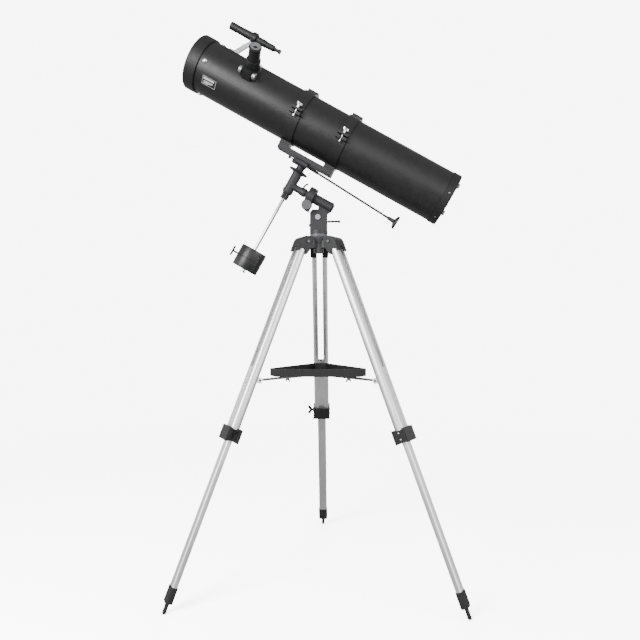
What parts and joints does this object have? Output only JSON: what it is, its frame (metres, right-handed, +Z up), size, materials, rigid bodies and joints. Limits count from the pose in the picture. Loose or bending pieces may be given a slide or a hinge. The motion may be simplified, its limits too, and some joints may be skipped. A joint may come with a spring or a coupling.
{
  "type": "reflector telescope on a tripod",
  "caption": "Black reflector telescope on a counterweighted equatorial mount and an extending aluminium tripod with an accessory tray.",
  "frame": {"origin": "middle of the object's bounding box, on the ground", "axes": "+Z up, +Y towards the back leg, the tube lies in the XZ plane with its open end towards -X"},
  "size_m": [0.8386, 0.7122, 1.6854],
  "materials": {
    "legs": "satin drawn aluminium",
    "black_plastic": "moulded black plastic",
    "cast_grey": "dark grey paint over die casting",
    "tube_black": "satin black powder coat",
    "steel": "bright machined steel",
    "chrome": "polished plating",
    "mirror": "front-silvered glass",
    "feet": "black rubber",
    "trim_aluminium": "turned aluminium",
    "weight": "black painted iron"
  },
  "bodies": {
    "tripod": {"tripod_hub": "cast_grey"},
    "leg_back": {"leg_bracket_back": "black_plastic", "leg_rail_back_a": "legs", "leg_rail_back_b": "legs", "leg_clamp_back": "black_plastic"},
    "lower_leg_back": {"lower_leg_back": "legs", "foot_back": "feet"},
    "clamp_screw_back": {"leg_clamp_screw_back": "black_plastic"},
    "brace_back": {"tray_brace_back": "black_plastic"},
    "leg_left": {"leg_bracket_left": "black_plastic", "leg_rail_left_a": "legs", "leg_rail_left_b": "legs", "leg_clamp_left": "black_plastic"},
    "lower_leg_left": {"lower_leg_left": "legs", "foot_left": "feet"},
    "clamp_screw_left": {"leg_clamp_screw_left": "black_plastic"},
    "brace_left": {"tray_brace_left": "black_plastic"},
    "leg_right": {"leg_bracket_right": "black_plastic", "leg_rail_right_a": "legs", "leg_rail_right_b": "legs", "leg_clamp_right": "black_plastic"},
    "lower_leg_right": {"lower_leg_right": "legs", "foot_right": "feet"},
    "clamp_screw_right": {"leg_clamp_screw_right": "black_plastic"},
    "brace_right": {"tray_brace_right": "black_plastic"},
    "tray": {"accessory_tray": "black_plastic"},
    "azimuth_head": {"azimuth_head": "cast_grey", "latitude_pivot_bolt": "steel"},
    "latitude_t_bolt": {"latitude_t_bolt": "steel"},
    "polar_housing": {"polar_housing": "cast_grey"},
    "ra_circle": {"ra_setting_circle": "cast_grey"},
    "ra_knob": {"ra_control_knob": "black_plastic"},
    "declination_housing": {"declination_housing": "cast_grey", "counterweight_shaft": "chrome", "shaft_lock_nut": "black_plastic"},
    "ra_lock_lever": {"ra_lock_lever": "steel"},
    "dec_circle": {"dec_setting_circle": "cast_grey"},
    "saddle": {"saddle": "cast_grey", "mounting_plate": "cast_grey", "tube_ring_lower_front": "tube_black", "tube_ring_lower_rear": "tube_black"},
    "dec_control": {"dec_control": "steel"},
    "counterweight": {"counterweight": "weight"},
    "counterweight_screw": {"counterweight_lock_screw": "black_plastic"},
    "optical_tube": {"main_tube": "tube_black", "front_rim": "black_plastic", "rear_cell": "black_plastic", "primary_mirror": "mirror", "spider": "steel", "secondary_mirror": "mirror", "focuser_base": "black_plastic", "finder_tube": "black_plastic", "finder_bracket": "trim_aluminium"},
    "ring_upper_front": {"tube_ring_upper_front": "tube_black"},
    "ring_knob_front": {"tube_ring_knob_front": "chrome"},
    "ring_upper_rear": {"tube_ring_upper_rear": "tube_black"},
    "ring_knob_rear": {"tube_ring_knob_rear": "chrome"},
    "drawtube": {"focuser_drawtube": "black_plastic"},
    "focus_knobs": {"focus_knobs": "trim_aluminium"},
    "eyepiece": {"eyepiece": "black_plastic"}
  },
  "joints": [
    {"name": "leg_fold_back", "type": "hinge", "parent": "tripod", "child": "leg_back", "pos_m": [-0.00798, -0.06325, 1.0105], "axis": [-1, 0, 0], "range_deg": [0, 20]},
    {"name": "leg_extend_back", "type": "slide", "parent": "leg_back", "child": "lower_leg_back", "axis": [0, 0.3761, -0.9266], "range_m": [-0.34, 0.12]},
    {"name": "leg_clamp_turn_back", "type": "hinge", "parent": "leg_back", "child": "clamp_screw_back", "pos_m": [-0.03798, 0.16311, 0.46576], "axis": [-1, 0, 0], "continuous": true},
    {"name": "brace_fold_back", "type": "hinge", "parent": "leg_back", "child": "brace_back", "pos_m": [-0.00798, 0.08275, 0.6065], "axis": [1, 0, 0], "range_deg": [0, 110]},
    {"name": "leg_fold_left", "type": "hinge", "parent": "tripod", "child": "leg_left", "pos_m": [-0.05128, -0.13825, 1.0105], "axis": [0.5, -0.866, 0], "range_deg": [0, 20]},
    {"name": "leg_extend_left", "type": "slide", "parent": "leg_left", "child": "lower_leg_left", "axis": [-0.3257, -0.188, -0.9266], "range_m": [-0.34, 0.12]},
    {"name": "leg_clamp_turn_left", "type": "hinge", "parent": "leg_left", "child": "clamp_screw_left", "pos_m": [-0.23231, -0.2774, 0.46576], "axis": [0.5, -0.866, 0], "continuous": true},
    {"name": "brace_fold_left", "type": "hinge", "parent": "leg_left", "child": "brace_left", "pos_m": [-0.17772, -0.21125, 0.6065], "axis": [-0.5, 0.866, 0], "range_deg": [0, 110]},
    {"name": "leg_fold_right", "type": "hinge", "parent": "tripod", "child": "leg_right", "pos_m": [0.03533, -0.13825, 1.0105], "axis": [0.5, 0.866, 0], "range_deg": [0, 20]},
    {"name": "leg_extend_right", "type": "slide", "parent": "leg_right", "child": "lower_leg_right", "axis": [0.3257, -0.188, -0.9266], "range_m": [-0.34, 0.12]},
    {"name": "leg_clamp_turn_right", "type": "hinge", "parent": "leg_right", "child": "clamp_screw_right", "pos_m": [0.24635, -0.22544, 0.46576], "axis": [0.5, 0.866, 0], "continuous": true},
    {"name": "brace_fold_right", "type": "hinge", "parent": "leg_right", "child": "brace_right", "pos_m": [0.16177, -0.21125, 0.6065], "axis": [-0.5, -0.866, 0], "range_deg": [0, 110]},
    {"name": "tray_out", "type": "slide", "parent": "tripod", "child": "tray", "axis": [0, -1, 0], "range_m": [0, 0.5]},
    {"name": "azimuth", "type": "hinge", "parent": "tripod", "child": "azimuth_head", "pos_m": [-0.00798, -0.11325, 1.0385], "axis": [0, 0, 1], "continuous": true},
    {"name": "latitude_t_bolt_turn", "type": "hinge", "parent": "azimuth_head", "child": "latitude_t_bolt", "pos_m": [0.03202, -0.11325, 1.0765], "axis": [1, 0, 0], "continuous": true},
    {"name": "latitude", "type": "hinge", "parent": "azimuth_head", "child": "polar_housing", "pos_m": [-0.00998, -0.11325, 1.0871], "axis": [0, 1, 0], "range_deg": [-9, 25]},
    {"name": "ra_circle_turn", "type": "hinge", "parent": "polar_housing", "child": "ra_circle", "pos_m": [-0.03489, -0.11325, 1.15427], "axis": [0.871, 0, -0.4914], "continuous": true},
    {"name": "ra_control_turn", "type": "hinge", "parent": "polar_housing", "child": "ra_knob", "pos_m": [-0.04202, -0.14325, 1.11925], "axis": [0, 1, 0], "continuous": true},
    {"name": "right_ascension", "type": "hinge", "parent": "polar_housing", "child": "declination_housing", "pos_m": [-0.09238, -0.11325, 1.1867], "axis": [0.871, 0, -0.4914], "range_deg": [-90, 90]},
    {"name": "ra_lock_turn", "type": "hinge", "parent": "declination_housing", "child": "ra_lock_lever", "pos_m": [-0.05122, -0.12857, 1.17824], "axis": [0.3158, -0.766, 0.5598], "range_deg": [-30, 30]},
    {"name": "dec_circle_turn", "type": "hinge", "parent": "declination_housing", "child": "dec_circle", "pos_m": [-0.06977, -0.11325, 1.22676], "axis": [0.4914, 0, 0.871], "continuous": true},
    {"name": "declination", "type": "hinge", "parent": "declination_housing", "child": "saddle", "pos_m": [-0.06289, -0.11325, 1.23896], "axis": [0.4914, 0, 0.871], "continuous": true},
    {"name": "dec_control_turn", "type": "hinge", "parent": "saddle", "child": "dec_control", "pos_m": [-0.05778, -0.13325, 1.24802], "axis": [0.8422, 0, -0.5392], "continuous": true},
    {"name": "counterweight_slide", "type": "slide", "parent": "declination_housing", "child": "counterweight", "axis": [0.4914, 0, 0.871], "range_m": [0, 0.13]},
    {"name": "counterweight_screw_turn", "type": "hinge", "parent": "counterweight", "child": "counterweight_screw", "pos_m": [-0.26245, -0.11325, 0.987], "axis": [0.871, 0, -0.4914], "continuous": true},
    {"name": "tube_roll", "type": "hinge", "parent": "saddle", "child": "optical_tube", "pos_m": [0.00049, -0.11325, 1.35131], "axis": [0.871, 0, -0.4914], "continuous": true},
    {"name": "ring_open_front", "type": "hinge", "parent": "saddle", "child": "ring_upper_front", "pos_m": [-0.06198, -0.02658, 1.39526], "axis": [-0.871, 0, 0.4914], "range_deg": [0, 60]},
    {"name": "ring_knob_turn_front", "type": "hinge", "parent": "ring_upper_front", "child": "ring_knob_front", "pos_m": [-0.06968, -0.20589, 1.38159], "axis": [0.4895, -0.0872, 0.8676], "continuous": true},
    {"name": "ring_open_rear", "type": "hinge", "parent": "saddle", "child": "ring_upper_rear", "pos_m": [0.07041, -0.02658, 1.32057], "axis": [-0.871, 0, 0.4914], "range_deg": [0, 60]},
    {"name": "ring_knob_turn_rear", "type": "hinge", "parent": "ring_upper_rear", "child": "ring_knob_rear", "pos_m": [0.0627, -0.20589, 1.30691], "axis": [0.4895, -0.0872, 0.8676], "continuous": true},
    {"name": "focus_travel", "type": "slide", "parent": "optical_tube", "child": "drawtube", "axis": [0.2457, -0.866, 0.4355], "range_m": [0, 0.04]},
    {"name": "focus_turn", "type": "hinge", "parent": "optical_tube", "child": "focus_knobs", "pos_m": [-0.21014, -0.20446, 1.49083], "axis": [0.871, 0, -0.4914], "range_deg": [0, 330]},
    {"name": "eyepiece_out", "type": "slide", "parent": "drawtube", "child": "eyepiece", "axis": [0.2457, -0.866, 0.4355], "range_m": [0, 0.04]}
  ],
  "couplings": [
    {"joint": "brace_fold_back", "follows": "leg_fold_back", "ratio": 5.5},
    {"joint": "brace_fold_left", "follows": "leg_fold_back", "ratio": 5.5},
    {"joint": "brace_fold_right", "follows": "leg_fold_back", "ratio": 5.5},
    {"joint": "leg_fold_left", "follows": "leg_fold_back", "ratio": 1},
    {"joint": "leg_fold_right", "follows": "leg_fold_back", "ratio": 1},
    {"joint": "tray_out", "follows": "leg_fold_back", "m_per_rad": 1.4324},
    {"joint": "focus_turn", "follows": "focus_travel", "rad_per_m": 142.86}
  ]
}
